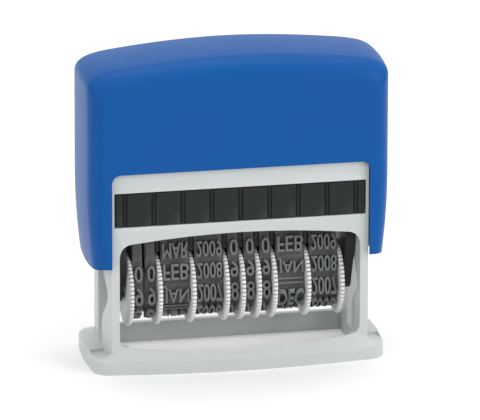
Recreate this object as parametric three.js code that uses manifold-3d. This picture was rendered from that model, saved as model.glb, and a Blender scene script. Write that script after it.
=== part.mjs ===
// Self-inking double date stamp: a sprung cap drives a carriage that carries nine printing bands,
// set by nine thumbwheels, down onto the paper and half a turn over on the way.
// Millimetres. +X runs to the right seen from the front, -Y is the front and +Z is up.
// The origin is the middle of the base, on the table. The part stands at rest, cap up.
import * as THREE from "three";
import { mergeVertices } from "three/addons/utils/BufferGeometryUtils.js";
import Module from "manifold-3d";

const wasm = await Module();
wasm.setup();

// Clearances
const runGap = 0.3; // between pieces that seat on or move past each other
const sideGap = 0.2; // between a band and the discs beside it
const paperGap = 0.15; // type to paper with the cap fully down
const cutOverrun = 2; // how far a cut passes the face it opens
const weldDistance = 0.0001;

// Thumbwheels and printing bands
const wheelRadius = 9.4;
const wheelThickness = 1.1;
const wheelTeeth = 36;
const toothDepth = 0.5;
const hubRadius = 4.85;
const shaftRadius = 1.2;
const bandThickness = 0.9;
const digitBandWidth = 2.5;
const wordBandWidth = 6.9;
const twinBandGap = 0.7;
const typeHeight = 0.6;
const typeLength = 3.8; // of one character, along the band
const typeMargin = 0.15; // from the type to the edge of its band
const typePlaces = 12;
const typeRootDepth = 0.5; // how deep a type block is rooted in its band
const wheelAxisHeight = 17.8;

// Carriage: two arms, a bridge that holds the bands at the printing line, and the shaft
const flipAxisHeight = 29;
const typeReach = 8.3; // flip axis to type face
const armThickness = 2.2;
const armHeadRadius = 7;
const armFootRadius = 2.9;
const armBossRadius = 2.4;
const stackPlay = 0.65; // arm to the outermost disc
const bridgeHalfDepth = 1.9;
const bridgeHeight = 5;
const bridgeCornerRadius = 0.2;
const finHalfDepth = 3.9;
const finTopDrop = 0.5; // fin top below the band surface
const tenonHalfDepth = 1.2;
const tenonHeight = 3.4;
const tenonLength = 1.2;
const journalRadius = 1.6;
const journalWallLeft = 1.05; // cap wall left outside the journal's hole
const lugLength = 3.2;
const lugHalfWidth = 1.1;

// Ink cartridge
const padProud = 0.3; // pad face below the cartridge rim
const padThickness = 4.6;
const padHalfDepth = 7.9;
const cartridgeHeight = 7.9;
const cartridgeWall = 2.2;
const platePanels = 8;
const panelPitch = 7.2;
const panelWidth = 6;
const panelRelief = 0.4;
const plateThickness = 0.8;
const plateDrop = 0.3; // face plate below the cartridge rim
const plateEndMargin = 1; // face plate end to the frame's corner

// Frame
const frameHalfDepth = 12;
const faceWall = 1.5;
const sideWall = 2.8;
const sideBow = 0.8; // the side walls swell this much at the middle
const deckThickness = 2.1;
const windowBar = 4.3; // bar between the window's ends and the cartridge strip
const windowArch = 1.5;
const windowHeadRadius = 4;
const windowSillRadius = 2.4;
const windowSill = 6.4;
const rearSill = 5;
const rearStripMargin = 2.1;
const railHeight = 0.8;
const railDepth = 1.7;
const slotHalfWidth = 2.5;
const slotFoot = 4.2;
const slotHeadRoom = 0.6;
const camDepth = 6; // how far the cam track swells forward of its slot
const camHalfHeight = 8.3;

// Base flange
const flangeSide = 4.2;
const flangeFront = 4.2;
const flangeBow = 2.3;
const flangeEndBow = 0.5;
const flangeCornerRadius = 5.5;
const flangeEdge = 3.6;
const edgeRound = 0.4;
const flangeTop = 4; // height of its flat top beside the frame
const skirtRise = 2.85; // at the front it slopes up to the frame by this much more
const skirtFade = 20; // the higher, the more sudden the drop from the front to the sides
const openingBow = 2.1;
const openingCorner = 1.6;
const recessFront = 7.4;
const recessBack = 4;
const recessDepth = 0.8;
const recessRim = 0.8; // left between the recess and the flange's end

// Return spring
const springWire = 0.8;
const springRadius = 4.9; // to the middle of the wire
const springCurls = 6;
const springSeatHeight = 1.5;
const springSeatRadius = 6.4;
const spigotLength = 2.6;

// Cap
const capWall = 2;
const capFaceWall = 1.3;
const headHeight = 8.05; // frame's head above its deck, which stops the cap
const footAboveTable = 6.35; // of the cap's legs with the cap fully down
const capDraft = 0.4; // how much each face leans in towards the top
const legDepth = 4.9; // leg beyond the frame's side
const legLap = 0.7; // leg face over the frame's side
const openingAboveDeck = 3;
const openingRadius = 2.2;
const capEdgeDepth = 5.4; // the rounded rim, measured from the face
const capEdgeWidth = 4.5; // and measured inwards from the outline
const crownDrop = 1.85;
const shoulderWidth = 9.5;
const shoulderHeight = 5;
const shoulderPull = 0.37; // the higher, the rounder the shoulder
const footTaper = 1.2;
const taperHeight = 20;
const footRadius = 1.2;
const bossRadius = 3.2;

// Facets
const arcSteps = 8;
const roundSteps = 24;
const boreSteps = 12;
const rimSteps = 4;

// Colours
const capBlue = { color: 0x1a5fae, roughness: 0.35, metalness: 0 };
const frameGrey = { color: 0xd3d8d6, roughness: 0.45, metalness: 0 };
const wheelGrey = { color: 0xc4c3bd, roughness: 0.5, metalness: 0 };
const bandRubber = { color: 0x55585a, roughness: 0.8, metalness: 0 };
const carriageBlack = { color: 0x262624, roughness: 0.5, metalness: 0 };
const cartridgeBlack = { color: 0x2d3030, roughness: 0.35, metalness: 0 };
const padFelt = { color: 0x1c1c22, roughness: 0.95, metalness: 0 };
const steel = { color: 0xb8babd, roughness: 0.3, metalness: 1 };

// Heights worked out from the sizes above
const typeFace = flipAxisHeight + typeReach;
const stroke = flipAxisHeight - typeReach - paperGap;
const bandTop = typeFace - typeHeight;
const bridgeTop = bandTop - bandThickness - runGap;
const bridgeFoot = bridgeTop - bridgeHeight;
const padFace = typeFace + runGap;
const cartridgeRim = padFace + padProud;
const cartridgeTop = cartridgeRim + cartridgeHeight;
const stripSill = cartridgeRim - plateDrop - runGap;
const stripHead = cartridgeTop + runGap;
const deckTop = stripHead + deckThickness;
const windowHead = stripSill - windowBar;
const legFoot = footAboveTable + stroke;
const openingHead = deckTop + openingAboveDeck;
const capHeight = deckTop + headHeight + stroke + runGap + capWall;
const springTop = capHeight - capWall - springSeatHeight;
const camMiddle = flipAxisHeight - stroke / 2;

// Widths worked out from the row of wheels and bands
const bandWidths = [
  digitBandWidth,
  digitBandWidth,
  wordBandWidth,
  wordBandWidth,
  digitBandWidth,
  digitBandWidth,
  digitBandWidth,
  wordBandWidth,
  wordBandWidth,
];
const rowLength = bandWidths.reduce((sum, width) => sum + width + wheelThickness + 2 * sideGap, 0)
  - 2 * sideGap + twinBandGap;
const armInner = rowLength / 2 + stackPlay;
const armOuter = armInner + armThickness;
const innerHalfWidth = armOuter + runGap;
const frameHalfWidth = innerHalfWidth + sideWall;
const innerHalfDepth = frameHalfDepth - faceWall;
const capHalfWidth = frameHalfWidth + legDepth;
const openingHalfWidth = frameHalfWidth - legLap;
const capInnerDepth = frameHalfDepth + runGap;
const capHalfDepth = capInnerDepth + capFaceWall;

// Solids

function solid(geometry) {
  const bare = geometry.clone();
  bare.deleteAttribute("normal");
  bare.deleteAttribute("uv");
  const merged = mergeVertices(bare, weldDistance);
  const vertProperties = merged.attributes.position.array;
  const triVerts = new Uint32Array(merged.index.array);
  return new wasm.Manifold(new wasm.Mesh({ numProp: 3, vertProperties, triVerts }));
}

function mesh(name, body, look) {
  const cut = body.getMesh();
  const geometry = new THREE.BufferGeometry();
  geometry.setAttribute("position", new THREE.BufferAttribute(cut.vertProperties, 3));
  geometry.setIndex(new THREE.BufferAttribute(cut.triVerts, 1));
  geometry.computeVertexNormals();
  const made = new THREE.Mesh(geometry, new THREE.MeshStandardMaterial(look));
  made.name = name;
  return made;
}

const alongX = new THREE.Vector3(1, 0, 0);
const alongY = new THREE.Vector3(0, 1, 0);
const alongZ = new THREE.Vector3(0, 0, 1);
const towardsFront = alongY.clone().negate();
const sidePlane = new THREE.Matrix4().makeBasis(alongY, alongZ, alongX);
const facePlane = new THREE.Matrix4().makeBasis(alongX, alongZ, towardsFront);

// A block between two opposite corners
function block(x0, x1, y0, y1, z0, z1) {
  const box = new THREE.BoxGeometry(x1 - x0, y1 - y0, z1 - z0);
  return solid(box.translate((x0 + x1) / 2, (y0 + y1) / 2, (z0 + z1) / 2));
}

function extruded(shape, depth, steps = arcSteps) {
  return new THREE.ExtrudeGeometry(shape, { depth, bevelEnabled: false, curveSegments: steps });
}

// A profile drawn in Y and Z, from x0 to x1
function acrossX(shape, x0, x1, steps) {
  return solid(extruded(shape, x1 - x0, steps).translate(0, 0, x0).applyMatrix4(sidePlane));
}

// A profile drawn in X and Z, from y0 to y1
function acrossY(shape, y0, y1, steps) {
  return solid(extruded(shape, y1 - y0, steps).translate(0, 0, -y1).applyMatrix4(facePlane));
}

// A profile drawn in X and Y, from z0 to z1
function upZ(shape, z0, z1, steps) {
  return solid(extruded(shape, z1 - z0, steps).translate(0, 0, z0));
}

function discX(radius, x0, x1, height, steps = roundSteps) {
  const disc = new THREE.CylinderGeometry(radius, radius, x1 - x0, steps);
  return solid(disc.rotateZ(Math.PI / 2).translate((x0 + x1) / 2, 0, height));
}

function discZ(radius, z0, z1, steps = roundSteps) {
  const disc = new THREE.CylinderGeometry(radius, radius, z1 - z0, steps);
  return solid(disc.rotateX(Math.PI / 2).translate(0, 0, (z0 + z1) / 2));
}

function mirrored(body) {
  return body.mirror([1, 0, 0]);
}

// A closed skin through rings of points that all have the same count
function loft(rings) {
  const count = rings[0].length;
  const points = rings.flat();
  const faces = [];
  for (let level = 0; level + 1 < rings.length; level += 1) {
    for (let i = 0; i < count; i += 1) {
      const a = level * count + i;
      const b = level * count + ((i + 1) % count);
      faces.push(a, b, a + count, b, b + count, a + count);
    }
  }
  const middle = (ring) => ring.reduce((sum, p) => sum.add(p), new THREE.Vector3()).divideScalar(count);
  const last = (rings.length - 1) * count;
  points.push(middle(rings[0]), middle(rings[rings.length - 1]));
  for (let i = 0; i < count; i += 1) {
    const next = (i + 1) % count;
    faces.push(points.length - 2, next, i);
    faces.push(points.length - 1, last + i, last + next);
  }
  const skin = new THREE.BufferGeometry().setFromPoints(points);
  return solid(skin.setIndex(faces));
}

// Thumbwheels and bands

function wheelOutline() {
  const outline = new THREE.Shape();
  const halfSteps = wheelTeeth * 2;
  for (let i = 0; i < halfSteps; i += 1) {
    const angle = (i / halfSteps) * Math.PI * 2;
    const radius = wheelRadius - (i % 2) * toothDepth;
    const [y, z] = [radius * Math.cos(angle), wheelAxisHeight + radius * Math.sin(angle)];
    if (i) outline.lineTo(y, z);
    else outline.moveTo(y, z);
  }
  return outline;
}

// One thumbwheel: a toothed disc and the hub that drives its band, to the left or right of it
function thumbwheel(x, bandWidth, side) {
  const hubEnd = x + side * (wheelThickness / 2 + sideGap + bandWidth);
  const disc = acrossX(wheelOutline(), x - wheelThickness / 2, x + wheelThickness / 2);
  const hub = discX(hubRadius, Math.min(x, hubEnd), Math.max(x, hubEnd), wheelAxisHeight);
  const bore = discX(
    shaftRadius + runGap,
    Math.min(x, hubEnd) - wheelThickness - cutOverrun,
    Math.max(x, hubEnd) + wheelThickness + cutOverrun,
    wheelAxisHeight,
    boreSteps,
  );
  return disc.add(hub).subtract(bore);
}

// The run of a belt that lies a given distance outside the hub and the bridge. It starts at the
// printing line and goes down the front first.
function beltPath(Path, outside) {
  const hub = hubRadius + outside;
  const nose = bridgeCornerRadius + outside;
  const noseY = bridgeHalfDepth - bridgeCornerRadius;
  const noseZ = bridgeTop - bridgeCornerRadius;
  const rise = noseZ - wheelAxisHeight;
  const lean = Math.asin((hub - nose) / Math.hypot(noseY, rise)) - Math.atan2(noseY, rise);
  const path = new Path();
  path.moveTo(0, noseZ + nose);
  path.lineTo(-noseY, noseZ + nose);
  path.absarc(-noseY, noseZ, nose, Math.PI / 2, Math.PI - lean, false);
  path.absarc(0, wheelAxisHeight, hub, Math.PI - lean, Math.PI * 2 + lean, false);
  path.absarc(noseY, noseZ, nose, lean, Math.PI / 2, false);
  path.lineTo(0, noseZ + nose);
  return path;
}

// One endless band with its twelve raised type places, the first at the printing line
function printingBand(x0, x1) {
  const outline = beltPath(THREE.Shape, runGap + bandThickness);
  const places = outline.clone();
  outline.holes.push(beltPath(THREE.Path, runGap));
  let band = acrossX(outline, x0, x1);
  for (let place = 0; place < typePlaces; place += 1) {
    const share = place / typePlaces;
    const at = places.getPointAt(share);
    const run = places.getTangentAt(share);
    const type = new THREE.BoxGeometry(x1 - x0 - 2 * typeMargin, typeLength, typeHeight + typeRootDepth);
    type.translate((x0 + x1) / 2, 0, (typeHeight - typeRootDepth) / 2);
    type.rotateX(Math.atan2(run.y, run.x) + Math.PI);
    band = band.add(solid(type.translate(0, at.x, at.y)));
  }
  return band;
}

// Carriage

// The centre of every disc, and the two edges of every band, from left to right
function rowPlaces() {
  const discs = [];
  const bands = [];
  let x = -rowLength / 2;
  bandWidths.forEach((width, i) => {
    const discFirst = i === 0;
    if (discFirst) {
      discs.push(x + wheelThickness / 2);
      x += wheelThickness + sideGap;
    }
    bands.push([x, x + width]);
    x += width;
    if (discFirst) x += twinBandGap;
    else {
      discs.push(x + sideGap + wheelThickness / 2);
      x += 2 * sideGap + wheelThickness;
    }
  });
  return { discs, bands };
}

function armProfile() {
  const footZ = wheelAxisHeight - sideGap;
  const rise = flipAxisHeight - footZ;
  const lean = Math.asin((armHeadRadius - armFootRadius) / rise);
  const profile = new THREE.Shape();
  profile.absarc(0, flipAxisHeight, armHeadRadius, -lean, Math.PI + lean, false);
  profile.absarc(0, footZ, armFootRadius, Math.PI + lean, Math.PI * 2 - lean, false);
  return profile;
}

function lugProfile() {
  const profile = new THREE.Shape();
  const tip = flipAxisHeight + lugLength - lugHalfWidth;
  profile.moveTo(-lugHalfWidth, flipAxisHeight);
  profile.lineTo(lugHalfWidth, flipAxisHeight);
  profile.absarc(0, tip, lugHalfWidth, 0, Math.PI, false);
  return profile;
}

// Half width of the cap's outline at a height on its leg
function legHalfWidth(z) {
  const share = Math.max(0, (legFoot + taperHeight - z) / taperHeight);
  return capHalfWidth - footTaper * share ** 2;
}

const journalEnd = legHalfWidth(flipAxisHeight) - journalWallLeft - runGap;

// The right-hand arm with the journal it turns on and the lug that follows the frame's cam track
function carriageArm() {
  const tenonMiddle = bridgeTop - bridgeHeight / 2;
  const pocketHalf = tenonHeight / 2 + runGap;
  const pocketDepth = tenonHalfDepth + runGap;
  return acrossX(armProfile(), armInner, armOuter, arcSteps * 2)
    .add(discX(armBossRadius, armInner - stackPlay + runGap, armOuter - runGap, wheelAxisHeight))
    .add(discX(journalRadius, armOuter - runGap, journalEnd, flipAxisHeight, boreSteps))
    .add(acrossX(lugProfile(), innerHalfWidth, frameHalfWidth - runGap))
    .subtract(discX(shaftRadius + runGap, 0, armOuter + cutOverrun, wheelAxisHeight, boreSteps))
    .subtract(block(
      armInner - cutOverrun,
      armInner + tenonLength + runGap,
      -pocketDepth,
      pocketDepth,
      tenonMiddle - pocketHalf,
      tenonMiddle + pocketHalf,
    ));
}

// The comb-shaped bar inside the bands, with a fin in every gap between them
function typeBridge(discs) {
  const half = armInner - runGap;
  const tenonMiddle = bridgeTop - bridgeHeight / 2;
  const tenonEnd = armInner + tenonLength;
  const finFoot = wheelAxisHeight + wheelRadius + 2 * runGap;
  let bridge = block(-half, half, -bridgeHalfDepth, bridgeHalfDepth, bridgeFoot, bridgeTop);
  bridge = bridge.add(block(
    -tenonEnd,
    tenonEnd,
    -tenonHalfDepth,
    tenonHalfDepth,
    tenonMiddle - tenonHeight / 2,
    tenonMiddle + tenonHeight / 2,
  ));
  discs.slice(1, -1).forEach((x) => {
    const fin = new THREE.Shape();
    fin.moveTo(-finHalfDepth, finFoot);
    fin.lineTo(finHalfDepth, finFoot);
    fin.lineTo(bridgeHalfDepth + bandThickness, bandTop - finTopDrop);
    fin.lineTo(-bridgeHalfDepth - bandThickness, bandTop - finTopDrop);
    bridge = bridge.add(acrossX(fin, x - wheelThickness / 2, x + wheelThickness / 2));
  });
  return bridge;
}

// Ink cartridge

function cartridge() {
  const half = innerHalfWidth - runGap;
  const back = innerHalfDepth - runGap;
  const plateBack = -innerHalfDepth - runGap;
  const plateHalf = frameHalfWidth - sideBow - plateEndMargin;
  const padHalf = half - cartridgeWall + runGap;
  let body = block(-half, half, plateBack - plateThickness / 2, back, cartridgeRim, cartridgeTop);
  body = body.subtract(block(
    -padHalf,
    padHalf,
    -padHalfDepth - runGap,
    padHalfDepth + runGap,
    cartridgeRim - cutOverrun,
    padFace + padThickness + runGap,
  ));
  const plateFoot = stripSill + runGap;
  body = body.add(block(
    -plateHalf,
    plateHalf,
    plateBack - plateThickness,
    plateBack,
    plateFoot,
    cartridgeTop,
  ));
  const rowHalf = (platePanels * panelPitch) / 2;
  const rib = panelPitch - panelWidth;
  const panelBack = plateBack - plateThickness / 2;
  const panelFace = plateBack - plateThickness - panelRelief;
  const panel = (x0, x1) => block(x0, x1, panelFace, panelBack, plateFoot, cartridgeTop);
  for (let i = 0; i < platePanels; i += 1) {
    const x = -rowHalf + i * panelPitch + rib / 2;
    body = body.add(panel(x, x + panelWidth));
  }
  for (let i = 0; i <= platePanels; i += 1) {
    const x = -rowHalf + i * panelPitch;
    body = body.add(panel(x - rib / 6, x + rib / 6));
  }
  const endPanel = panel(rowHalf + rib / 2, plateHalf);
  return body.add(endPanel).add(mirrored(endPanel));
}

function inkPad() {
  const half = innerHalfWidth - runGap - cartridgeWall;
  return block(-half, half, -padHalfDepth, padHalfDepth, padFace, padFace + padThickness);
}

// Cap outline and its inside

// The front outline of the cap or, inset, of its hollow. It runs on below the feet.
function capOutline(inset, foot) {
  const side = capHalfWidth - inset;
  const top = capHeight - inset;
  const shoulder = top - crownDrop;
  const taperTop = legFoot + taperHeight;
  const footX = legHalfWidth(foot) - inset;
  const taperMiddle = (taperTop + foot) / 2;
  const outline = new THREE.Shape();
  outline.moveTo(-footX, foot);
  outline.lineTo(footX, foot);
  outline.quadraticCurveTo(side, taperMiddle, side, taperTop);
  outline.lineTo(side, shoulder - shoulderHeight);
  outline.bezierCurveTo(
    side,
    shoulder - shoulderHeight * shoulderPull,
    side - shoulderWidth * shoulderPull,
    shoulder - crownDrop * shoulderPull,
    side - shoulderWidth,
    shoulder,
  );
  outline.quadraticCurveTo(side / 3, top, 0, top);
  outline.quadraticCurveTo(-side / 3, top, -side + shoulderWidth, shoulder);
  outline.bezierCurveTo(
    -side + shoulderWidth * shoulderPull,
    shoulder - crownDrop * shoulderPull,
    -side,
    shoulder - shoulderHeight * shoulderPull,
    -side,
    shoulder - shoulderHeight,
  );
  outline.lineTo(-side, taperTop);
  outline.quadraticCurveTo(-side, taperMiddle, -footX, foot);
  return outline;
}

// The cap's outline as a plate with a rounded rim, its faces leaning in a little to the top
function capBody(inset, halfDepth, edgeDepth, edgeWidth) {
  const foot = legFoot - 3 * capEdgeWidth;
  const ring = (step, side) => {
    const angle = ((step / rimSteps) * Math.PI) / 2;
    const outline = capOutline(inset + edgeWidth * (1 - Math.cos(angle)), foot);
    const y = side * (halfDepth - edgeDepth * (1 - Math.sin(angle)));
    return outline.getPoints(arcSteps).slice(0, -1).map((p) => {
      const share = (p.y - legFoot) / (capHeight - legFoot);
      return new THREE.Vector3(p.x, y * (1 - (share * capDraft) / capHalfDepth), p.y);
    });
  };
  const rings = [];
  for (let step = rimSteps; step >= 0; step -= 1) rings.push(ring(step, 1));
  for (let step = 0; step <= rimSteps; step += 1) rings.push(ring(step, -1));
  return loft(rings);
}

// What the cap leaves free inside, or with a clearance, what fits inside it
function capHollow(clearance) {
  const inset = capWall + clearance;
  const halfDepth = capInnerDepth + capDraft - clearance;
  return capBody(inset, halfDepth, capEdgeDepth - capFaceWall, capEdgeWidth - capFaceWall);
}

// Everything above the feet, with their outer corners rounded off
function footClip() {
  const wide = capHalfWidth + cutOverrun;
  const roundTop = legFoot + footRadius;
  const roundX = legHalfWidth(roundTop);
  const clip = new THREE.Shape();
  clip.moveTo(-roundX + footRadius, legFoot);
  clip.lineTo(roundX - footRadius, legFoot);
  clip.quadraticCurveTo(roundX, legFoot, roundX, roundTop);
  clip.lineTo(wide, roundTop);
  clip.lineTo(wide, capHeight + cutOverrun);
  clip.lineTo(-wide, capHeight + cutOverrun);
  clip.lineTo(-wide, roundTop);
  clip.lineTo(-roundX, roundTop);
  clip.quadraticCurveTo(-roundX, legFoot, -roundX + footRadius, legFoot);
  return acrossY(clip, -capHalfDepth - cutOverrun, capHalfDepth + cutOverrun);
}

// The opening between the legs, front and back
function capOpening() {
  const opening = new THREE.Shape();
  const foot = legFoot - cutOverrun;
  opening.moveTo(-openingHalfWidth, foot);
  opening.lineTo(openingHalfWidth, foot);
  opening.absarc(
    openingHalfWidth - openingRadius,
    openingHead - openingRadius,
    openingRadius,
    0,
    Math.PI / 2,
  );
  opening.absarc(
    openingRadius - openingHalfWidth,
    openingHead - openingRadius,
    openingRadius,
    Math.PI / 2,
    Math.PI,
  );
  return acrossY(opening, -capHalfDepth - cutOverrun, capHalfDepth + cutOverrun);
}

function cap() {
  const legBoss = discX(bossRadius, frameHalfWidth + runGap, journalEnd + runGap, flipAxisHeight);
  const journalHole = discX(
    journalRadius + runGap,
    frameHalfWidth - cutOverrun,
    journalEnd + runGap,
    flipAxisHeight,
    boreSteps,
  );
  const seat = discZ(springSeatRadius, springTop, capHeight - capWall / 2);
  const spigot = discZ(
    springRadius - springWire,
    springTop - spigotLength,
    springTop + springSeatHeight,
    boreSteps,
  );
  return capBody(0, capHalfDepth, capEdgeDepth, capEdgeWidth)
    .subtract(capHollow(0))
    .intersect(footClip())
    .subtract(capOpening())
    .add(legBoss)
    .add(mirrored(legBoss))
    .subtract(journalHole)
    .subtract(mirrored(journalHole))
    .add(seat)
    .add(spigot);
}

// Frame

// The frame's plan, its side walls swelling a little at the middle
function frameOutline() {
  const corner = frameHalfWidth - sideBow;
  const swell = frameHalfWidth + sideBow;
  const plan = new THREE.Shape();
  plan.moveTo(-corner, -frameHalfDepth);
  plan.lineTo(corner, -frameHalfDepth);
  plan.quadraticCurveTo(swell, 0, corner, frameHalfDepth);
  plan.lineTo(-corner, frameHalfDepth);
  plan.quadraticCurveTo(-swell, 0, -corner, -frameHalfDepth);
  return plan;
}

// A window with an arched head, round corners and a straight sill
function windowShape(halfWidth, sill, head, arch) {
  const shape = new THREE.Shape();
  const [low, high] = [windowSillRadius, windowHeadRadius];
  shape.moveTo(-halfWidth + low, sill);
  shape.lineTo(halfWidth - low, sill);
  shape.quadraticCurveTo(halfWidth, sill, halfWidth, sill + low);
  shape.lineTo(halfWidth, head - high);
  shape.quadraticCurveTo(halfWidth, head, halfWidth - high, head);
  shape.quadraticCurveTo(0, head + 2 * arch, -halfWidth + high, head);
  shape.quadraticCurveTo(-halfWidth, head, -halfWidth, head - high);
  shape.lineTo(-halfWidth, sill + low);
  shape.quadraticCurveTo(-halfWidth, sill, -halfWidth + low, sill);
  return shape;
}

// The slot that the journal runs in, with the swelling at its middle that lets the lug swing
// forward while the carriage turns over
function camTrack() {
  const track = new THREE.Shape();
  const head = flipAxisHeight + lugLength + slotHeadRoom;
  const steps = arcSteps * 2;
  track.moveTo(-slotHalfWidth, slotFoot);
  track.lineTo(slotHalfWidth, slotFoot);
  track.lineTo(slotHalfWidth, head);
  track.lineTo(-slotHalfWidth, head);
  for (let i = 0; i <= steps; i += 1) {
    const share = 1 - (2 * i) / steps;
    const swell = camDepth * Math.cos((share * Math.PI) / 2) ** 2;
    track.lineTo(-slotHalfWidth - swell, camMiddle + share * camHalfHeight);
  }
  return track;
}

// One ring of the base's outline, drawn in by an inset, at a height that may rise to the front
function flangeRing(inset, height, rise) {
  const side = frameHalfWidth + flangeSide - inset;
  const front = frameHalfDepth + flangeFront - inset;
  const share = inset / flangeFront;
  const bow = flangeBow * (1 - share);
  const endBow = flangeEndBow * (1 - share);
  const corner = flangeCornerRadius * (1 - share / 2);
  const half = side - endBow - corner;
  const depth = front - bow;
  const plan = new THREE.Path();
  plan.moveTo(-half, -depth);
  plan.quadraticCurveTo(0, -depth - 2 * bow, half, -depth);
  plan.quadraticCurveTo(side - endBow, -depth, side - endBow, corner - depth);
  plan.quadraticCurveTo(side + endBow, 0, side - endBow, depth - corner);
  plan.quadraticCurveTo(side - endBow, depth, half, depth);
  plan.quadraticCurveTo(0, depth + 2 * bow, -half, depth);
  plan.quadraticCurveTo(endBow - side, depth, endBow - side, depth - corner);
  plan.quadraticCurveTo(-side - endBow, 0, endBow - side, corner - depth);
  plan.quadraticCurveTo(endBow - side, -depth, -half, -depth);
  const points = plan.getPoints(arcSteps).slice(0, -1);
  return points.map((p) => {
    const sideways = Math.min(1, Math.abs(p.x) / side);
    const up = p.y < 0 ? rise * (1 - sideways ** skirtFade) : 0;
    return new THREE.Vector3(p.x, p.y, height + up);
  });
}

function flange() {
  return loft([
    flangeRing(0, 0, 0),
    flangeRing(0, flangeEdge - edgeRound, 0),
    flangeRing(edgeRound, flangeEdge, 0),
    flangeRing(flangeFront, flangeTop, skirtRise),
  ]);
}

// The opening the type prints through. Its front edge bows out like the flange.
function printOpening() {
  const [half, depth] = [innerHalfWidth, innerHalfDepth];
  const front = frameHalfDepth;
  const plan = new THREE.Shape();
  plan.moveTo(half, depth);
  plan.lineTo(-half, depth);
  plan.lineTo(-half, -depth);
  plan.lineTo(-half + openingCorner, -front);
  plan.quadraticCurveTo(0, -front - 2 * openingBow, half - openingCorner, -front);
  plan.lineTo(half, -depth);
  return upZ(plan, -cutOverrun, windowSill, arcSteps * 2);
}

function frame() {
  const [half, depth] = [innerHalfWidth, innerHalfDepth];
  const front = -frameHalfDepth - flangeFront - cutOverrun;
  const back = frameHalfDepth + flangeFront + cutOverrun;
  const stripHalf = frameHalfWidth - sideBow - plateEndMargin + runGap;
  const rearHalf = half - rearStripMargin;
  const envelope = capHollow(runGap).translate([0, 0, -stroke])
    .add(block(-capHalfWidth, capHalfWidth, -capHalfDepth, capHalfDepth, -cutOverrun, legFoot));
  const inside = block(-half, half, -depth, depth, -cutOverrun, stripHead);
  const well = block(-half, half, -depth, depth, deckTop, capHeight);
  const recess = block(
    frameHalfWidth,
    frameHalfWidth + flangeSide - recessRim,
    -recessFront,
    -recessBack,
    flangeTop - recessDepth,
    flangeTop + cutOverrun,
  );
  const rail = block(
    half - railDepth,
    half + sideWall / 2,
    -depth,
    depth,
    padFace - railHeight,
    padFace,
  );
  return upZ(frameOutline(), 0, capHeight)
    .intersect(envelope)
    .add(flange())
    .subtract(inside)
    .subtract(well)
    .subtract(printOpening())
    .subtract(acrossY(windowShape(half, windowSill, windowHead, windowArch), front, -depth + runGap))
    .subtract(acrossY(windowShape(half, rearSill, windowHead, windowArch), depth - runGap, frameHalfDepth))
    .subtract(block(-stripHalf, stripHalf, front, -depth, stripSill, stripHead))
    .subtract(block(-rearHalf, rearHalf, 0, back, cartridgeRim, cartridgeTop))
    .subtract(acrossX(camTrack(), -capHalfWidth - cutOverrun, capHalfWidth + cutOverrun))
    .subtract(recess)
    .subtract(mirrored(recess))
    .add(rail)
    .add(mirrored(rail))
    .add(discZ(springRadius - springWire, deckTop - deckThickness / 2, deckTop + spigotLength, boreSteps));
}

// Return spring

// The wire's centre line: closed curls at both ends and an open pitch between them
class SpringLine extends THREE.Curve {
  getPoint(t, target = new THREE.Vector3()) {
    const low = deckTop + runGap / 2 + springWire / 2;
    const high = springTop - runGap / 2 - springWire / 2;
    const endShare = 1 / springCurls;
    const closed = springWire * 1.2;
    let z;
    if (t < endShare) z = low + (closed * t) / endShare;
    else if (t > 1 - endShare) z = high - (closed * (1 - t)) / endShare;
    else z = low + closed + ((high - low - 2 * closed) * (t - endShare)) / (1 - 2 * endShare);
    const angle = t * springCurls * Math.PI * 2;
    return target.set(springRadius * Math.cos(angle), springRadius * Math.sin(angle), z);
  }
}

function returnSpring() {
  const sides = 5;
  const stepsPerCurl = 8;
  const wire = new THREE.Shape();
  for (let i = 0; i < sides; i += 1) {
    const angle = (i / sides) * Math.PI * 2;
    const [x, y] = [(springWire / 2) * Math.cos(angle), (springWire / 2) * Math.sin(angle)];
    if (i) wire.lineTo(x, y);
    else wire.moveTo(x, y);
  }
  const options = { steps: springCurls * stepsPerCurl, bevelEnabled: false, extrudePath: new SpringLine() };
  return solid(new THREE.ExtrudeGeometry(wire, options));
}

// Assembly

const { discs, bands } = rowPlaces();
const part = new THREE.Group();
part.add(mesh("cap_shell", cap(), capBlue));
part.add(mesh("base_frame", frame(), frameGrey));
part.add(mesh("ink_cartridge", cartridge(), cartridgeBlack));
part.add(mesh("ink_pad", inkPad(), padFelt));
part.add(mesh("return_spring", returnSpring(), steel));
part.add(mesh("carriage_arm_right", carriageArm(), carriageBlack));
part.add(mesh("carriage_arm_left", mirrored(carriageArm()), carriageBlack));
part.add(mesh("type_bridge", typeBridge(discs), carriageBlack));
const shaftHalf = armOuter - runGap;
part.add(mesh("wheel_shaft", discX(shaftRadius, -shaftHalf, shaftHalf, wheelAxisHeight, boreSteps), steel));
discs.forEach((x, i) => {
  const side = i === 0 ? 1 : -1;
  part.add(mesh(`date_wheel_${i + 1}`, thumbwheel(x, bandWidths[i], side), wheelGrey));
});
bands.forEach(([x0, x1], i) => {
  part.add(mesh(`date_band_${i + 1}`, printingBand(x0, x1), bandRubber));
});

export default part;
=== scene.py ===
import math

import bmesh
import bpy
from mathutils import Matrix, Vector
from mathutils.geometry import interpolate_bezier


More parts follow.
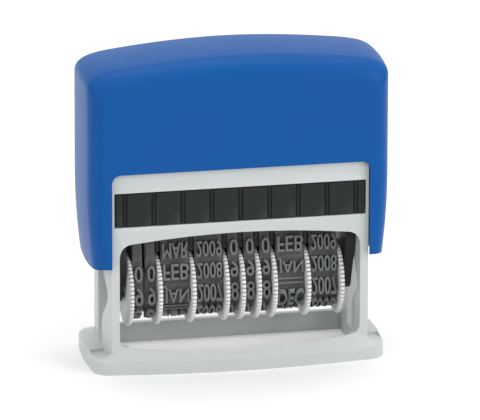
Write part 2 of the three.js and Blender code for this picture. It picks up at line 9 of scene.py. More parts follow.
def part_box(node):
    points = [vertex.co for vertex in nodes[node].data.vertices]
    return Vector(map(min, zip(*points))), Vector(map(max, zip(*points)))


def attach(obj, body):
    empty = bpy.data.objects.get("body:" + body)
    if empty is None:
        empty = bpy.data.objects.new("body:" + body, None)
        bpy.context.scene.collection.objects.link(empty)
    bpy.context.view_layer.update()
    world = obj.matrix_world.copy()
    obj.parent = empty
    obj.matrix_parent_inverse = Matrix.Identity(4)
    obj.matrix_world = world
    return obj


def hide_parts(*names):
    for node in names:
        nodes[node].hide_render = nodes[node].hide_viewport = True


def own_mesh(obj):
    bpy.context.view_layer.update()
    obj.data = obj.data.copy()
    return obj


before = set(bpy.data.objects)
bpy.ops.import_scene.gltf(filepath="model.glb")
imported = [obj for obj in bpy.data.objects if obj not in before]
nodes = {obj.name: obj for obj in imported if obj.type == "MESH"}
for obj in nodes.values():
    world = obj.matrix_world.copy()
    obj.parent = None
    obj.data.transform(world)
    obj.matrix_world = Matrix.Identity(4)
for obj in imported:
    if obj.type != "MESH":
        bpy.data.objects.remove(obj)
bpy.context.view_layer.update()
print("frame loaded:", len(nodes), "nodes")

mm = 0.001  # sizes in the dictionaries are in millimetres


# Camera

cameraSetup = {
    "azimuth": 11.503,  # degrees that the camera stands to the left of the front
    "elevation": 17.913,
    "roll": 0.154,
    "distance": 1703.3,
    "focalPixels": 6909.8,
    "frameWidth": 480,
    "sensorWidth": 36,
    "farEnd": 100,
    "target": (2.295, 0, 36.217),
}


def buildCamera(setup):
    azimuth = math.radians(setup["azimuth"])
    elevation = math.radians(setup["elevation"])
    roll = math.radians(setup["roll"])
    back = Vector((
        -math.sin(azimuth) * math.cos(elevation),
        -math.cos(azimuth) * math.cos(elevation),
        math.sin(elevation),
    ))
    level = Vector((math.cos(azimuth), -math.sin(azimuth), 0))
    upright = back.cross(level)
    right = math.cos(roll) * level + math.sin(roll) * upright
    up = math.cos(roll) * upright - math.sin(roll) * level
    lens = bpy.data.cameras.new("photoView")
    lens.sensor_width = setup["sensorWidth"]
    lens.lens = setup["focalPixels"] / setup["frameWidth"] * lens.sensor_width
    lens.clip_end = setup["farEnd"]
    camera = bpy.data.objects.new("photoView", lens)
    bpy.context.scene.collection.objects.link(camera)
    place = Vector(setup["target"]) * mm + setup["distance"] * mm * back
    turn = Matrix((right, up, back)).transposed().to_4x4()
    camera.matrix_world = Matrix.Translation(place) @ turn
    bpy.context.scene.camera = camera


buildCamera(cameraSetup)
print("camera placed")


# Shared shader groups

def newGroup(name, inputs, outputs):
    # Every socket holds a number, and each use of a group sets all its inputs
    group = bpy.data.node_groups.new(name, "ShaderNodeTree")
    for labels, way in ((inputs, "INPUT"), (outputs, "OUTPUT")):
        for label in labels:
            group.interface.new_socket(label, in_out=way, socket_type="NodeSocketFloat")
    start = group.nodes.new("NodeGroupInput")
    end = group.nodes.new("NodeGroupOutput")
    return group, start, end


def linkUp(tree, *pairs):
    for source, target in pairs:
        tree.links.new(source, target)


def buildMoulding():
    # Fine pebble and slow waviness: a height, and a mask that drifts over the piece
    group, start, end = newGroup(
        "mouldedSurface", ("Grain", "Drift", "Waviness"), ("Height", "Mask"),
    )
    place = group.nodes.new("ShaderNodeTexCoord")
    fine = group.nodes.new("ShaderNodeTexNoise")
    slow = group.nodes.new("ShaderNodeTexNoise")
    fine.inputs["Detail"].default_value = 3
    slow.inputs["Detail"].default_value = 4
    mix = group.nodes.new("ShaderNodeMix")
    linkUp(
        group,
        (place.outputs["Object"], fine.inputs["Vector"]),
        (place.outputs["Object"], slow.inputs["Vector"]),
        (start.outputs["Grain"], fine.inputs["Scale"]),
        (start.outputs["Drift"], slow.inputs["Scale"]),
        (start.outputs["Waviness"], mix.inputs["Factor"]),
        (fine.outputs["Fac"], mix.inputs["A"]),
        (slow.outputs["Fac"], mix.inputs["B"]),
        (mix.outputs["Result"], end.inputs["Height"]),
        (slow.outputs["Fac"], end.inputs["Mask"]),
    )
    return group


def buildEdgeWear(wearGain):
    # Where edges stick out, broken up by noise
    group, start, end = newGroup("edgeWear", ("Reach", "Scale"), ("Mask",))
    shape = group.nodes.new("ShaderNodeNewGeometry")
    place = group.nodes.new("ShaderNodeTexCoord")
    breakUp = group.nodes.new("ShaderNodeTexNoise")
    above = group.nodes.new("ShaderNodeMath")
    above.operation = "SUBTRACT"
    gain = group.nodes.new("ShaderNodeMath")
    gain.operation = "MULTIPLY"
    gain.inputs[1].default_value = wearGain
    gain.use_clamp = True
    broken = group.nodes.new("ShaderNodeMath")
    broken.operation = "MULTIPLY"
    linkUp(
        group,
        (shape.outputs["Pointiness"], above.inputs[0]),
        (start.outputs["Reach"], above.inputs[1]),
        (above.outputs[0], gain.inputs[0]),
        (place.outputs["Object"], breakUp.inputs["Vector"]),
        (start.outputs["Scale"], breakUp.inputs["Scale"]),
        (gain.outputs[0], broken.inputs[0]),
        (breakUp.outputs["Fac"], broken.inputs[1]),
        (broken.outputs[0], end.inputs["Mask"]),
    )
    return group


def buildDust(levelFrom):
    # Dust that settles on what faces up
    group, start, end = newGroup("settledDust", ("Amount", "Scale"), ("Mask",))
    shape = group.nodes.new("ShaderNodeNewGeometry")
    parts = group.nodes.new("ShaderNodeSeparateXYZ")
    place = group.nodes.new("ShaderNodeTexCoord")
    specks = group.nodes.new("ShaderNodeTexNoise")
    specks.inputs["Detail"].default_value = 6
    upward = group.nodes.new("ShaderNodeMapRange")
    upward.inputs["From Min"].default_value = levelFrom
    upward.inputs["From Max"].default_value = 1
    spread = group.nodes.new("ShaderNodeMath")
    spread.operation = "MULTIPLY"
    amount = group.nodes.new("ShaderNodeMath")
    amount.operation = "MULTIPLY"
    linkUp(
        group,
        (shape.outputs["Normal"], parts.inputs[0]),
        (parts.outputs["Z"], upward.inputs["Value"]),
        (place.outputs["Object"], specks.inputs["Vector"]),
        (start.outputs["Scale"], specks.inputs["Scale"]),
        (upward.outputs["Result"], spread.inputs[0]),
        (specks.outputs["Fac"], spread.inputs[1]),
        (spread.outputs[0], amount.inputs[0]),
        (start.outputs["Amount"], amount.inputs[1]),
        (amount.outputs[0], end.inputs["Mask"]),
    )
    return group


mouldedSurface = buildMoulding()
edgeWear = buildEdgeWear(wearGain=6)
settledDust = buildDust(levelFrom=0.3)


def addGroup(tree, group, **values):
    node = tree.nodes.new("ShaderNodeGroup")
    node.node_tree = group
    for label, value in values.items():
        node.inputs[label.capitalize()].default_value = value
    return node


def blendColour(tree, mask, first, second):
    # Colour node that goes from one colour or socket to another by a mask
    mix = tree.nodes.new("ShaderNodeMix")
    mix.data_type = "RGBA"
    tree.links.new(mask, mix.inputs["Factor"])
    for value, socket in ((first, mix.inputs["A"]), (second, mix.inputs["B"])):
        if isinstance(value, tuple):
            socket.default_value = (*value, 1)
        else:
            tree.links.new(value, socket)
    return mix.outputs["Result"]


def spreadValue(tree, mask, low, high):
    spread = tree.nodes.new("ShaderNodeMapRange")
    spread.inputs["To Min"].default_value = low
    spread.inputs["To Max"].default_value = high
    tree.links.new(mask, spread.inputs["Value"])
    return spread.outputs["Result"]


def addSurface(tree, look):
    return addGroup(
        tree, mouldedSurface, grain=look["grain"], drift=look["drift"], waviness=look["waviness"],
    )


def addBump(tree, shader, surface, look):
    bump = tree.nodes.new("ShaderNodeBump")
    bump.inputs["Strength"].default_value = look["bump"]
    bump.inputs["Distance"].default_value = look["bumpDepth"] * mm
    linkUp(
        tree,
        (surface.outputs["Height"], bump.inputs["Height"]),
        (bump.outputs["Normal"], shader.inputs["Normal"]),
    )


def finishSurface(tree, shader, surface, look, colour):
    roughness = spreadValue(tree, surface.outputs["Mask"], *look["roughness"])
    linkUp(
        tree,
        (colour, shader.inputs["Base Color"]),
        (roughness, shader.inputs["Roughness"]),
    )


def newMaterial(name):
    material = bpy.data.materials.new(name)
    material.use_nodes = True
    tree = material.node_tree
    return material, tree, tree.nodes["Principled BSDF"]


def mouldedPlastic(name, look):
    # Moulded plastic: two close tones, soft bump, brighter worn edges and a little dust
    material, tree, shader = newMaterial(name)
    surface = addSurface(tree, look)
    wear = addGroup(tree, edgeWear, reach=look["wearReach"], scale=look["wearScale"])
    dust = addGroup(tree, settledDust, amount=look["dust"], scale=look["dustScale"])
    body = blendColour(tree, surface.outputs["Mask"], look["colour"], look["secondColour"])
    layeredColour = blendColour(tree, wear.outputs["Mask"], body, look["edgeColour"])
    # Painted light on the thumbwheels' rims: a painted highlight on the bead tops and painted
    # shade in the grooves between them
    for label in ("beadHighlight", "grooveShade"):
        if label + "Colour" in look:
            share = tree.nodes.new("ShaderNodeAttribute")
            share.attribute_name = label
            layeredColour = blendColour(tree, share.outputs["Fac"], layeredColour, look[label + "Colour"])
    dusty = blendColour(tree, dust.outputs["Mask"], layeredColour, look["dustColour"])
    shader.inputs["Specular IOR Level"].default_value = look["specular"]
    addBump(tree, shader, surface, look)
    finishSurface(tree, shader, surface, look, dusty)
    return material


plasticLooks = {
    "capBlue": {
        "colour": (0.003, 0.103, 0.35),
        "secondColour": (0.014, 0.086, 0.33),
        "edgeColour": (0.03, 0.18, 0.48),
        "dustColour": (0.3, 0.36, 0.45),
        "roughness": (0.26, 0.38),
        "specular": 0.06,
        "grain": 1800,
        "drift": 35,
        "waviness": 0.35,
        "bump": 0.12,
        "bumpDepth": 0.06,
        "wearReach": 0.9,
        "wearScale": 400,
        "dust": 0.02,
        "dustScale": 900,
    },
    "frameGrey": {
        "colour": (0.56, 0.59, 0.585),
        "secondColour": (0.6, 0.63, 0.625),
        "edgeColour": (0.78, 0.8, 0.8),
        "dustColour": (0.5, 0.5, 0.48),
        "roughness": (0.38, 0.5),
        "specular": 0.35,
        "grain": 2200,
        "drift": 45,
        "waviness": 0.3,
        "bump": 0.1,
        "bumpDepth": 0.05,
        "wearReach": 0.62,
        "wearScale": 500,
        "dust": 0.06,
        "dustScale": 700,
    },
    "wheelGrey": {
        "colour": (0.68, 0.69, 0.67),
        "secondColour": (0.75, 0.76, 0.74),
        # worn edges, made brighter still as a painted highlight on the rim's ribs
        "edgeColour": (0.9, 0.91, 0.9),
        # painted highlight on the tops of the rim's beads
        "beadHighlightColour": (0.93, 0.94, 0.93),
        # painted shade in the grooves between the rim's beads
        "grooveShadeColour": (0.26, 0.26, 0.24),
        "dustColour": (0.35, 0.34, 0.32),
        "roughness": (0.45, 0.6),
        "specular": 0.35,
        "grain": 2600,
        "drift": 160,
        "waviness": 0.4,
        "bump": 0.2,
        "bumpDepth": 0.05,
        "wearReach": 0.52,
        "wearScale": 900,
        "dust": 0.15,
        "dustScale": 900,
    },
    "carriageBlack": {
        "colour": (0.013, 0.014, 0.012),
        "secondColour": (0.02, 0.021, 0.018),
        "edgeColour": (0.08, 0.08, 0.08),
        "dustColour": (0.12, 0.12, 0.11),
        "roughness": (0.42, 0.55),
        "specular": 0.3,
        "grain": 2600,
        "drift": 120,
        "waviness": 0.3,
        "bump": 0.2,
        "bumpDepth": 0.06,
        "wearReach": 0.53,
        "wearScale": 700,
        "dust": 0.1,
        "dustScale": 900,
    },
    "cartridgeBlack": {
        "colour": (0.026, 0.03, 0.029),
        "secondColour": (0.03, 0.034, 0.033),
        "edgeColour": (0.16, 0.17, 0.17),
        "dustColour": (0.12, 0.12, 0.12),
        "roughness": (0.34, 0.38),
        "specular": 0.06,
        "grain": 2400,
        "drift": 90,
        "waviness": 0.3,
        "bump": 0.12,
        "bumpDepth": 0.05,
        "wearReach": 0.6,
        "wearScale": 800,
        "dust": 0.01,
        "dustScale": 900,
    },
}
plastics = {name: mouldedPlastic(name, look) for name, look in plasticLooks.items()}


def drawnSteel(look):
    # Drawn wire and ground shaft: metal with dull and bright patches
    material, tree, shader = newMaterial("drawnSteel")
    surface = addSurface(tree, look)
    colour = blendColour(tree, surface.outputs["Mask"], look["colour"], look["secondColour"])
    shader.inputs["Metallic"].default_value = 1
    finishSurface(tree, shader, surface, look, colour)
    return material


def inkedFelt(look):
    # Felt soaked in ink: matted fibres with damp, darker patches
    material, tree, shader = newMaterial("inkedFelt")
    surface = addSurface(tree, look)
    colour = blendColour(tree, surface.outputs["Mask"], look["colour"], look["secondColour"])
    shader.inputs["Sheen Weight"].default_value = look["sheen"]
    addBump(tree, shader, surface, look)
    finishSurface(tree, shader, surface, look, colour)
    return material


def printingRubber(look):
    # Grey rubber, darker between the type and rubbed paler on it, mottled by old ink
    material, tree, shader = newMaterial("bandRubber")
    surface = addSurface(tree, look)
    wear = addGroup(tree, edgeWear, reach=look["wearReach"], scale=look["wearScale"])
    height = tree.nodes.new("ShaderNodeAttribute")
    height.attribute_name = "raised"
    ground = blendColour(tree, surface.outputs["Mask"], look["groundColour"], look["groundSecond"])
    face = blendColour(tree, surface.outputs["Mask"], look["typeColour"], look["typeSecond"])
    onType = spreadValue(tree, height.outputs["Fac"], *look["typeMask"])
    body = blendColour(tree, onType, ground, face)
    layeredColour = blendColour(tree, wear.outputs["Mask"], body, look["edgeColour"])
    addBump(tree, shader, surface, look)
    finishSurface(tree, shader, surface, look, layeredColour)
    return material


steelLook = {
    "colour": (0.42, 0.42, 0.43),
    "secondColour": (0.62, 0.62, 0.63),
    "roughness": (0.22, 0.42),
    "grain": 3000,
    "drift": 300,
    "waviness": 0.6,
}
feltLook = {
    "colour": (0.012, 0.012, 0.02),
    "secondColour": (0.035, 0.035, 0.05),
    "roughness": (0.7, 0.95),
    "sheen": 0.2,
    "grain": 4200,
    "drift": 380,
    "waviness": 0.45,
    "bump": 0.8,
    "bumpDepth": 0.25,
}
rubberLook = {
    "groundColour": (0.045, 0.048, 0.050),
    "groundSecond": (0.085, 0.09, 0.092),
    "typeColour": (0.12, 0.13, 0.135),
    "typeSecond": (0.19, 0.2, 0.205),
    "typeMask": (-5, 1),  # from the belt to the type's face: only the type's tops turn pale
    "edgeColour": (0.3, 0.31, 0.31),
    "roughness": (0.4, 0.62),
    "grain": 3500,
    "drift": 420,
    "waviness": 0.5,
    "bump": 0.3,
    "bumpDepth": 0.06,
    "wearReach": 0.53,
    "wearScale": 1500,
}
rubber = printingRubber(rubberLook)
steel = drawnSteel(steelLook)
felt = inkedFelt(feltLook)
print("materials made")


# Helpers for pieces

weldGap = 0.002 * mm
fineWeldGap = 0.001 * mm
smoothAngle = 35  # degrees up to which an edge is shaded smooth
bevelAngle = 32  # degrees from which an edge is softened
flatAngle = 0.6  # degrees up to which a solid's faces are joined up


def pieceFromMesh(name, bm, material, smoothTo=smoothAngle):
    mesh = bpy.data.meshes.new(name)
    bm.to_mesh(mesh)
    bm.free()
    piece = bpy.data.objects.new(name, mesh)
    bpy.context.scene.collection.objects.link(piece)
    mesh.materials.append(material)
    mesh.shade_smooth()
    mesh.set_sharp_from_angle(angle=math.radians(smoothTo))
    return piece


def settle(piece, body, slot, *replaced):
    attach(piece, body)
    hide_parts(*replaced)


def flattenShading(piece):
    flatten = piece.modifiers.new("flatFaces", "WEIGHTED_NORMAL")
    flatten.mode = "FACE_AREA_WITH_ANGLE"
    flatten.keep_sharp = True


def softenEdges(piece, width, segments=3):
    bevel = piece.modifiers.new("softEdges", "BEVEL")
    bevel.width = width * mm
    bevel.segments = segments
    bevel.limit_method = "ANGLE"
    bevel.angle_limit = math.radians(bevelAngle)
    bevel.use_clamp_overlap = True
    flattenShading(piece)


def applyModifiers(piece):
    graph = bpy.context.evaluated_depsgraph_get()
    final = bpy.data.meshes.new_from_object(piece.evaluated_get(graph))
    piece.modifiers.clear()
    piece.data = final
    final.shade_smooth()
    final.set_sharp_from_angle(angle=math.radians(smoothAngle))


def carve(piece, bm, operation="DIFFERENCE"):
    # Cuts a shape out of a piece, or joins it on
    mesh = bpy.data.meshes.new("cutter")
    bm.to_mesh(mesh)
    bm.free()
    cutter = bpy.data.objects.new("cutter", mesh)
    bpy.context.scene.collection.objects.link(cutter)
    boolean = piece.modifiers.new("cut", "BOOLEAN")
    boolean.operation = operation
    boolean.solver = "EXACT"
    boolean.object = cutter
    applyModifiers(piece)
    bpy.data.objects.remove(cutter)


def loopShape(points, reach):
    # A solid from a closed outline in X and Z that reaches as far to the front as to the back
    bm = bmesh.new()
    ring = [bm.verts.new((x * mm, -reach * mm, z * mm)) for x, z in points]
    bm.faces.new(ring)
    made = bmesh.ops.extrude_face_region(bm, geom=bm.faces[:])
    moved = [v for v in made["geom"] if isinstance(v, bmesh.types.BMVert)]
    bmesh.ops.translate(bm, verts=moved, vec=(0, 2 * reach * mm, 0))
    bmesh.ops.recalc_face_normals(bm, faces=bm.faces)
    return bm


def boxShape(low, high):
    bm = bmesh.new()
    bmesh.ops.create_cube(bm, size=1)
    size = Vector(high) - Vector(low)
    bmesh.ops.scale(bm, verts=bm.verts, vec=size)
    bmesh.ops.translate(bm, verts=bm.verts, vec=(Vector(high) + Vector(low)) / 2)
    return bm


def rodShape(radius, length, place):
    bm = bmesh.new()
    bmesh.ops.create_cone(
        bm, cap_ends=True, segments=48, radius1=radius, radius2=radius, depth=length, matrix=place,
    )
    return bm


def rodAlongX(radius, x0, x1, z):
    place = Matrix.Translation(((x0 + x1) / 2, 0, z)) @ Matrix.Rotation(math.pi / 2, 4, "Y")
    return rodShape(radius, x1 - x0, place)


def rodUp(radius, z0, z1):
    return rodShape(radius, z1 - z0, Matrix.Translation((0, 0, (z0 + z1) / 2)))


def roundOff(bm, edges, width):
    bmesh.ops.bevel(
        bm, geom=edges, offset=width * mm, segments=3, affect="EDGES", profile=0.5, material=-1,
    )


def takeOffSkin(bm, sizes):
    # The solid has a skin of no thickness at the sill, where its front window meets the opening
    # in its foot
    flat = [
        f for f in bm.faces
        if all(
            abs(v.co.z / mm - sizes["sill"]) < sizes["tolerance"]
            and -sizes["front"] < v.co.y / mm < -sizes["inner"]
            and abs(v.co.x / mm) < sizes["halfWidth"]
            for v in f.verts
        )
    ]
    bmesh.ops.delete(bm, geom=flat, context="FACES")
    bmesh.ops.holes_fill(bm, edges=[e for e in bm.edges if e.is_boundary], sides=4)


def dressedCopy(name, node, body, slot, material, width, skin=None):
    # A copy of a solid with its flat faces joined up and its edges softened
    bm = bmesh.new()
    bm.from_mesh(nodes[node].data)
    bmesh.ops.remove_doubles(bm, verts=bm.verts, dist=weldGap)
    if skin:
        takeOffSkin(bm, skin)
    flat = math.radians(flatAngle)
    bmesh.ops.dissolve_limit(bm, angle_limit=flat, verts=bm.verts, edges=bm.edges)
    piece = pieceFromMesh(name, bm, material)
    softenEdges(piece, width, segments=2)
    settle(piece, body, slot, node)


# Cap

capSizes = {
    "halfDepth": 13.6,
    "edgeDepth": 5.4,
    "edgeWidth": 4.5,
    "edgeSteps": 12,
    "innerEdgeSteps": 6,
    "bow": 0.7,  # how far the top and sides fall away from the middle to the faces
    "bowSteps": 5,
    "crownDrop": 1.85,
    "shoulderWidth": 9.5,
    "shoulderHeight": 5,
    "shoulderPull": 0.37,
    "foot": 27.2,
    "footSag": 1.7,  # how far the feet's undersides bow down between front and back
    "footSlices": 12,
    "footTaper": 1.2,
    "footRadius": 1.2,
    "footSteps": 8,
    "taperHeight": 20,
    "draft": 0.4,
    "wall": 2,
    "faceWall": 1.3,
    "openingRadius": 2.2,
    "openingSteps": 10,
    "openingOverrun": 5,  # how far below the feet the opening's cut starts
    "openingHalfWidth": 32.2,
    "openingHead": 51.2,
    "bossRadius": 3.2,
    "bossStart": 33.2,
    "bossEnd": 35.79,
    "journalRoom": 1.9,
    "journalHeight": 29,
    "seatRadius": 6.4,
    "seatDepth": 3.5,
    "spigotRadius": 4.1,
    "spigotLength": 2.6,
    "softEdge": 0.25,
    "curveSteps": 16,
}


def curvePoints(a, b, c, d, steps):
    path = interpolate_bezier(*(Vector((x, z, 0)) for x, z in (a, b, c, d)), steps + 1)
    return [(p.x, p.y) for p in path[:-1]]


def bendPoints(a, middle, d, steps):
    # A stretch with one pull point, as the solid's outline has
    b = (a[0] + (middle[0] - a[0]) * 2 / 3, a[1] + (middle[1] - a[1]) * 2 / 3)
    c = (d[0] + (middle[0] - d[0]) * 2 / 3, d[1] + (middle[1] - d[1]) * 2 / 3)
    return curvePoints(a, b, c, d, steps)


def legWidth(sizes, z):
    # Half the cap's width at a height on its legs
    share = max(0, (sizes["foot"] + sizes["taperHeight"] - z) / sizes["taperHeight"])
    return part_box("cap_shell")[1].x / mm - sizes["footTaper"] * share ** 2


def capOutline(sizes, inset):
    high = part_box("cap_shell")[1]
    foot = sizes["foot"] - 3 * sizes["edgeWidth"]
    side = high.x / mm - inset
    top = high.z / mm - inset
    taperTop = sizes["foot"] + sizes["taperHeight"]
    footX = legWidth(sizes, foot) - inset
    middle = (taperTop + foot) / 2
    shoulder = top - sizes["crownDrop"]
    wide, tall, drop = sizes["shoulderWidth"], sizes["shoulderHeight"], sizes["crownDrop"]
    pull, steps = sizes["shoulderPull"], sizes["curveSteps"]
    right = bendPoints((footX, foot), (side, middle), (side, taperTop), steps)
    right.append((side, taperTop))
    right += curvePoints(
        (side, shoulder - tall),
        (side, shoulder - tall * pull),
        (side - wide * pull, shoulder - drop * pull),
        (side - wide, shoulder),
        steps,
    )
    right += bendPoints((side - wide, shoulder), (side / 3, top), (0, top), steps)
    left = [(-x, z) for x, z in reversed(right)]
    outline = right + [(0, top)] + left
    return [(x * mm, z * mm) for x, z in outline]


def roundedSlab(sizes, inset, halfDepth, edgeDepth, edgeWidth, steps, bow=0):
    # The outline as a plate whose two faces are rounded over at their rims
    bm = bmesh.new()
    bowSteps = sizes["bowSteps"] if bow else 1
    rings = [(0, (halfDepth - edgeDepth) * step / bowSteps) for step in range(bowSteps)]
    for step in range(steps + 1):
        angle = math.pi / 2 * step / steps
        depth = halfDepth - edgeDepth * (1 - math.sin(angle))
        rings.append(((edgeWidth - bow) * (1 - math.cos(angle)), depth))
    before = None
    for drawnIn, depth in rings:
        drawnIn += bow * (depth / halfDepth) ** 2
        ring = [bm.verts.new((x, -depth * mm, z)) for x, z in capOutline(sizes, inset + drawnIn)]
        edges = [bm.edges.new(pair) for pair in zip(ring, ring[1:] + ring[:1])]
        if before:
            bmesh.ops.bridge_loops(bm, edges=before + edges)
        before = edges
    bm.faces.new(ring)
    everything = bm.verts[:] + bm.edges[:] + bm.faces[:]
    bmesh.ops.mirror(bm, geom=everything, axis="Y", merge_dist=fineWeldGap)
    bmesh.ops.remove_doubles(bm, verts=bm.verts, dist=fineWeldGap)
    bmesh.ops.recalc_face_normals(bm, faces=bm.faces)
    return bm


def leanFaces(bm, low, high, lean):
    # The draft that lets the cap out of its mould: the faces come closer towards the top
    for v in bm.verts:
        v.co.y *= 1 - (v.co.z - low) / (high - low) * lean


def footCutter(sizes, reach):
    # What is cut off below the feet, their outer corners rounded
    foot, radius = sizes["foot"], sizes["footRadius"]
    edge = legWidth(sizes, foot + radius)
    bend = (edge - radius, foot), (edge, foot), (edge, foot + radius)
    corner = bendPoints(*bend, sizes["footSteps"])
    right = [(0, foot)] + corner + [(edge, foot + radius), (reach, foot + radius), (reach, -reach)]
    points = right + [(-x, z) for x, z in reversed(right[1:])]
    bm = loopShape(points, reach)
    half = sizes["halfDepth"] * mm
    slices = sizes["footSlices"]
    for step in range(-slices, slices + 1):
        everything = bm.verts[:] + bm.edges[:] + bm.faces[:]
        depth = half * step / slices
        bmesh.ops.bisect_plane(bm, geom=everything, plane_co=(0, depth, 0), plane_no=(0, 1, 0))
    for v in bm.verts:
        v.co.z -= sizes["footSag"] * mm * max(0, 1 - (v.co.y / half) ** 2)
    return bm


def openingOutline(sizes):
    halfWidth, foot = sizes["openingHalfWidth"], sizes["foot"] - sizes["openingOverrun"]
    head, radius = sizes["openingHead"], sizes["openingRadius"]
    points = [(-halfWidth, foot), (halfWidth, foot)]
    for side in (1, -1):
        for step in range(sizes["openingSteps"] + 1):
            angle = math.pi / 2 * step / sizes["openingSteps"]
            if side < 0:
                angle = math.pi / 2 - angle
            x = side * (halfWidth - radius + radius * math.cos(angle))
            points.append((x, head - radius + radius * math.sin(angle)))
    return points


def buildCap(sizes):
    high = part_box("cap_shell")[1]
    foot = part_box("cap_shell")[0].z
    halfDepth, faceWall, wall = sizes["halfDepth"], sizes["faceWall"], sizes["wall"]
    edgeDepth, edgeWidth = sizes["edgeDepth"], sizes["edgeWidth"]
    lean = sizes["draft"] / halfDepth
    bm = roundedSlab(sizes, 0, halfDepth, edgeDepth, edgeWidth, sizes["edgeSteps"], sizes["bow"])
    leanFaces(bm, foot, high.z, lean)
    shell = pieceFromMesh("capShell", bm, plastics["capBlue"])
    innerDepth = halfDepth - faceWall + sizes["draft"]
    steps = sizes["innerEdgeSteps"]
    bm = roundedSlab(sizes, wall, innerDepth, edgeDepth - faceWall, edgeWidth - faceWall, steps)
    leanFaces(bm, foot, high.z, lean)
    carve(shell, bm)
    reach = 2 * high.x / mm
    carve(shell, footCutter(sizes, reach))
    carve(shell, loopShape(openingOutline(sizes), reach))
    softenEdges(shell, sizes["softEdge"])
    applyModifiers(shell)
    start, end = sizes["bossStart"] * mm, sizes["bossEnd"] * mm
    axis = sizes["journalHeight"] * mm
    for side in (-1, 1):
        low, outer = sorted((side * start, side * end))
        carve(shell, rodAlongX(sizes["bossRadius"] * mm, low, outer, axis), "UNION")
        low, outer = sorted((side * start / 2, side * end))
        carve(shell, rodAlongX(sizes["journalRoom"] * mm, low, outer, axis))
    under = high.z - sizes["seatDepth"] * mm
    carve(shell, rodUp(sizes["seatRadius"] * mm, under, high.z - wall / 2 * mm), "UNION")
    tip = under - sizes["spigotLength"] * mm
    carve(shell, rodUp(sizes["spigotRadius"] * mm, tip, under), "UNION")
    flattenShading(shell)
    settle(shell, "cap", "cap_plastic", "cap_shell")


buildCap(capSizes)
print("cap built")


# Frame and cartridge, from their solids

sillSkin = {
    "sill": 6.4,
    "front": 12.62,
    "inner": 10.45,
    "halfWidth": 28.2,
    "tolerance": 0.01,
}
dressedCopy(
    "standFrame", "base_frame", "frame", "frame_plastic", plastics["frameGrey"], 0.25, sillSkin,
)
dressedCopy(
    "padCartridge", "ink_cartridge", "cartridge", "cartridge_plastic",
    plastics["cartridgeBlack"], 0.12,
)
for name, node, width in (
    ("leftArm", "carriage_arm_left", 0.2),
    ("rightArm", "carriage_arm_right", 0.2),
    ("bandBridge", "type_bridge", 0.12),
):
    dressedCopy(name, node, "carriage", "carriage_plastic", plastics["carriageBlack"], width)
print("frame, cartridge and carriage dressed")


# Ink pad

padSizes = {
    "corner": 0.5,
    "cuts": 24,
    "crown": 0.06,
    "rippleAcross": 2.1,
    "rippleAlong": 2.7,
}


def buildPad(sizes):
    low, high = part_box("ink_pad")
    bm = boxShape(low, high)
    roundOff(bm, bm.edges[:], sizes["corner"])
    level = [f for f in bm.faces if abs(f.normal.z) > 0.9]
    edges = list({e for f in level for e in f.edges})
    bmesh.ops.subdivide_edges(bm, edges=edges, cuts=sizes["cuts"], use_grid_fill=True)
    middle = (low + high) / 2
    for v in bm.verts:
        if v.co.z < low.z + sizes["corner"] * mm / 4:
            across = math.cos((v.co.y - middle.y) / (high.y - low.y) * math.pi)
            ripple = math.sin(v.co.x / mm * sizes["rippleAcross"])
            ripple *= math.sin(v.co.y / mm * sizes["rippleAlong"])
            v.co.z += sizes["crown"] * mm * (1 - max(0, across)) * (1 + ripple / 2)
    pad = pieceFromMesh("inkFelt", bm, felt)
    settle(pad, "cartridge", "pad_felt", "ink_pad")


buildPad(padSizes)


# Shaft and spring

shaftEdge = 0.2


def buildShaft():
    low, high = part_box("wheel_shaft")
    radius = (high.z - low.z) / 2
    bm = rodAlongX(radius, low.x, high.x, (high.z + low.z) / 2)
    ends = [e for e in bm.edges if abs(abs(e.calc_face_angle(0)) - math.pi / 2) < 0.1]
    roundOff(bm, ends, shaftEdge)
    settle(pieceFromMesh("wheelShaft", bm, steel), "carriage", "spring_steel", "wheel_shaft")


springSizes = {
    "wire": 0.8,
    "curls": 6,
    "stepsPerCurl": 40,
    "sides": 12,
    "closedPitch": 1.2,  # of the two end curls, in wires
    "keep": 0.24,
}


def buildSpring(sizes):
    low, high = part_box("return_spring")
    wire = sizes["wire"] * mm
    radius = (high.x - low.x) / 2 - wire / 2
    bottom, top = low.z + wire / 2, high.z - wire / 2
    closed = wire * sizes["closedPitch"]
    endShare = 1 / sizes["curls"]
    curve = bpy.data.curves.new("springLine", "CURVE")
    curve.dimensions = "3D"
    curve.bevel_depth = wire / 2
    curve.bevel_resolution = sizes["sides"] // 4
    curve.use_fill_caps = True
    count = sizes["curls"] * sizes["stepsPerCurl"] + 1
    spline = curve.splines.new("POLY")
    spline.points.add(count - 1)
    for i in range(count):
        share = i / (count - 1)
        if share < endShare:
            z = bottom + closed * share / endShare
        elif share > 1 - endShare:
            z = top - closed * (1 - share) / endShare
        else:
            rise = top - bottom - 2 * closed
            z = bottom + closed + rise * (share - endShare) / (1 - 2 * endShare)
        angle = share * sizes["curls"] * 2 * math.pi
        spline.points[i].co = (radius * math.cos(angle), radius * math.sin(angle), z, 1)
    line = bpy.data.objects.new("springLine", curve)
    bpy.context.scene.collection.objects.link(line)
    graph = bpy.context.evaluated_depsgraph_get()
    mesh = bpy.data.meshes.new_from_object(line.evaluated_get(graph))
    bpy.data.objects.remove(line)
    bm = bmesh.new()
    bm.from_mesh(mesh)
    bmesh.ops.remove_doubles(bm, verts=bm.verts, dist=fineWeldGap)
    bmesh.ops.recalc_face_normals(bm, faces=bm.faces)
    spring = pieceFromMesh("returnSpring", bm, steel)
    settle(spring, "frame", "spring_steel", "return_spring")
    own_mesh(spring)


buildShaft()
buildSpring(springSizes)
print("pad, shaft and spring built")


# Thumbwheels

